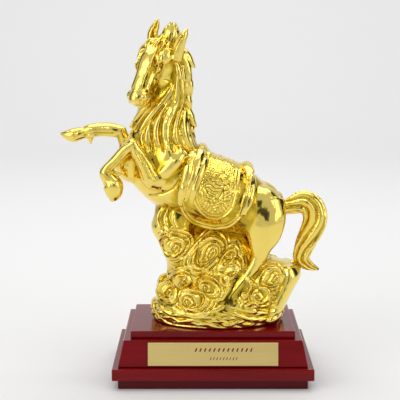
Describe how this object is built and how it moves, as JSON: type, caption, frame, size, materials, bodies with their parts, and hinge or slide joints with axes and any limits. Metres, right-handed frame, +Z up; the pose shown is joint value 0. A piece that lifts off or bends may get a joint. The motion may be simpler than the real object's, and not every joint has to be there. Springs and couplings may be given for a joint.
{
  "type": "ceramic horse statue",
  "caption": "Gilt glazed-ceramic horse rearing over a wave-carved rock, on a stepped red lacquered wooden plinth with a plain brass plate.",
  "frame": {"origin": "centre of the plinth's underside", "axes": "+Z up, -Y towards the side with the brass plate, -X the way the horse's forelegs reach"},
  "size_m": [0.2469, 0.119, 0.3262],
  "materials": {
    "gilt_glaze": "mirror-bright gold plating over glazed ceramic",
    "lacquer_red": "high-gloss dark red lacquer",
    "lacquer_dark": "gloss brown-red lacquer",
    "satin_brass": "fine brushed satin"
  },
  "bodies": {
    "root": {"horse_on_waves": "gilt_glaze", "plinth_foot": "lacquer_dark", "plinth_band": "lacquer_red", "plinth_body": "lacquer_red", "plinth_top": "lacquer_red", "plaque": "satin_brass"}
  },
  "joints": []
}
